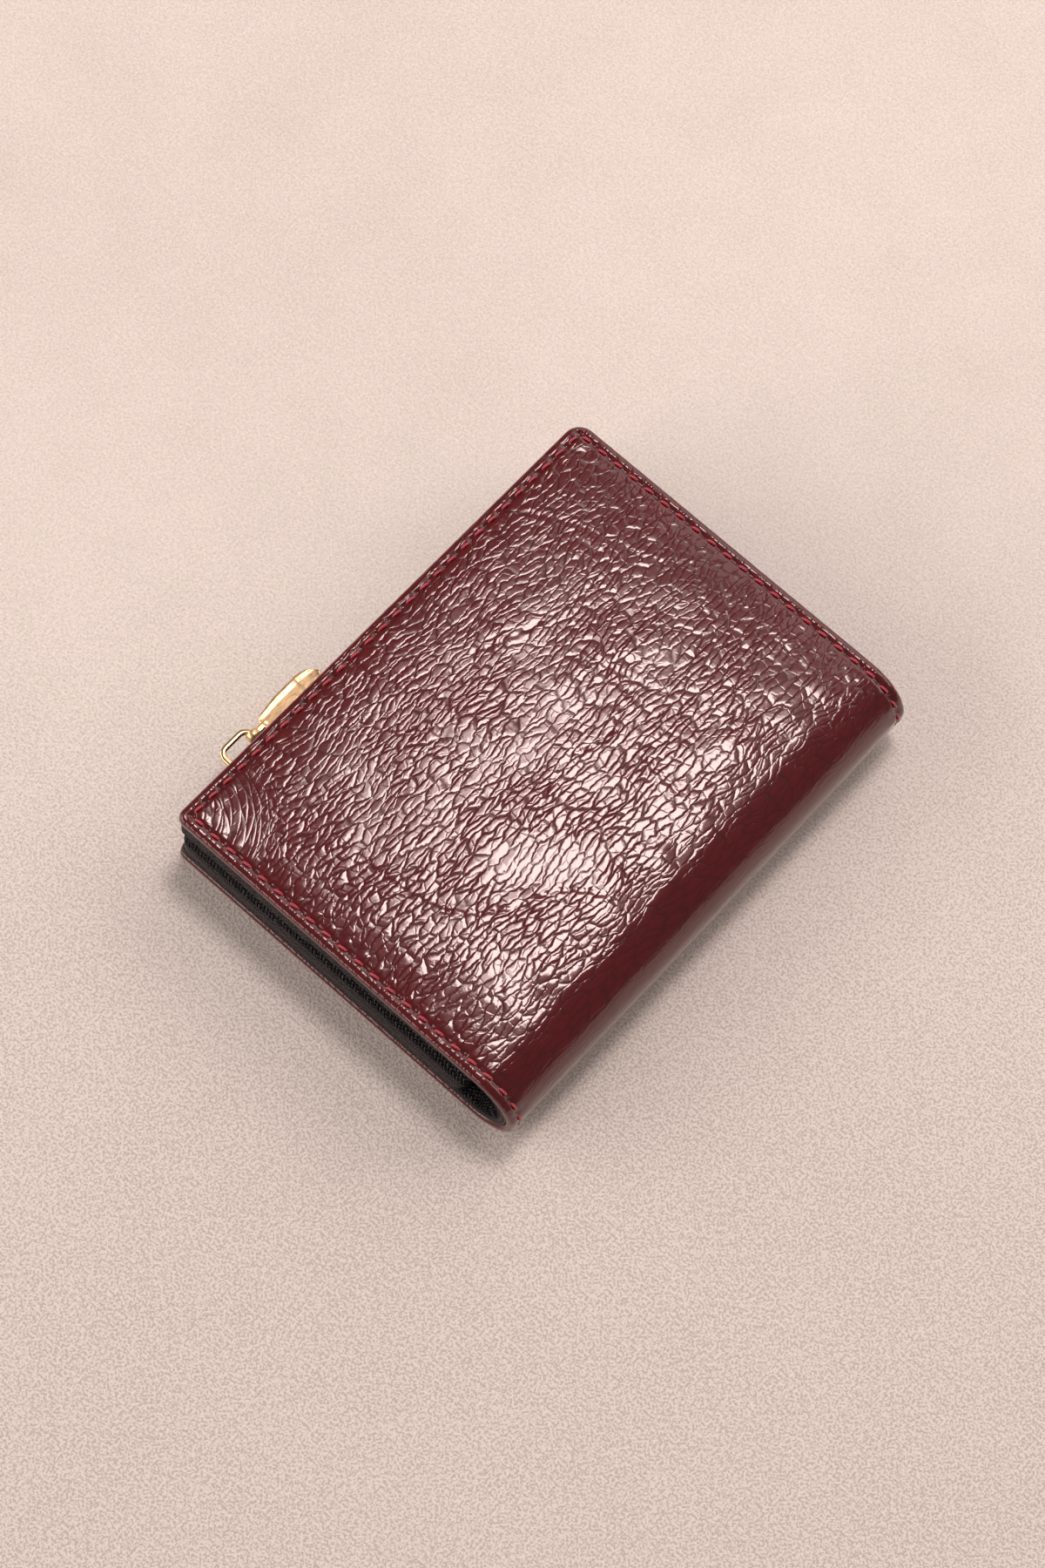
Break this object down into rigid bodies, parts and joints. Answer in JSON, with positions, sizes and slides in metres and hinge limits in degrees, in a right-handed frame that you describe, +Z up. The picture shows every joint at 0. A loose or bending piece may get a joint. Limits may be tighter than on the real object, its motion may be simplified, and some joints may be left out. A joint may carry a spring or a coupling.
{
  "type": "bifold wallet",
  "caption": "Compact bifold wallet in crinkled patent leather, with card slots and a zipped coin pocket inside.",
  "frame": {"origin": "on the flat underside, midway between the open edge and the outside of the fold, and midway along the fold", "axes": "+Y along the fold, +X out of the fold, +Z up from the back cover to the front cover"},
  "size_m": [0.092, 0.115, 0.0195],
  "materials": {
    "patent_leather": "crinkled patent",
    "inner_leather": "cross grain, semi-gloss",
    "board": "fibre board",
    "lining_cloth": "twill",
    "thread": "twisted thread",
    "zip_tape": "woven tape",
    "gold_metal": "polished pale gold plating"
  },
  "bodies": {
    "back_half": {"back_cover": "patent_leather", "back_stiffener": "board", "back_lining": "lining_cloth", "back_inner_panel": "inner_leather", "back_stitching": "thread", "coin_gusset": "inner_leather", "coin_panel": "inner_leather", "slip_pocket": "inner_leather", "zip_tape_outer": "zip_tape", "zip_tape_inner": "zip_tape", "zip_teeth_outer": "gold_metal", "zip_teeth_inner": "gold_metal", "zip_top_stops": "gold_metal", "zip_bottom_stop": "gold_metal"},
    "fold": {"fold_cover": "patent_leather", "fold_stiffener": "board", "fold_lining": "lining_cloth", "fold_inner_panel": "inner_leather", "fold_stitching": "thread"},
    "front_half": {"front_cover": "patent_leather", "front_stiffener": "board", "front_lining": "lining_cloth", "front_inner_panel": "inner_leather", "front_stitching": "thread", "card_slot_1": "inner_leather", "card_slot_2": "inner_leather", "card_slot_3": "inner_leather", "card_slot_4": "inner_leather"},
    "slider": {"zip_slider": "gold_metal"},
    "ring": {"pull_ring": "gold_metal"},
    "pull": {"pull_plate": "gold_metal"}
  },
  "joints": [
    {"name": "front_hinge", "type": "hinge", "parent": "fold", "child": "front_half", "pos_m": [0.04091, 0, 0.01741], "axis": [0, 1, 0], "range_deg": [0, 90]},
    {"name": "back_hinge", "type": "hinge", "parent": "back_half", "child": "fold", "pos_m": [0.04091, 0, 0.00209], "axis": [0, 1, 0], "range_deg": [0, 90]},
    {"name": "slider_travel", "type": "slide", "parent": "back_half", "child": "slider", "axis": [0, 1, 0], "range_m": [0, 0.078], "deforming": ["zip_teeth_outer", "zip_teeth_inner"]},
    {"name": "ring_tilt", "type": "hinge", "parent": "slider", "child": "ring", "pos_m": [-0.0375, -0.0397, 0.0097], "axis": [1, 0, 0], "range_deg": [0, 15]},
    {"name": "pull_swing", "type": "hinge", "parent": "ring", "child": "pull", "pos_m": [-0.0462, -0.0324, 0.0097], "axis": [1, 0, 0], "range_deg": [-25, 90]}
  ],
  "couplings": [
    {"joint": "front_hinge", "follows": "back_hinge", "ratio": 1}
  ]
}
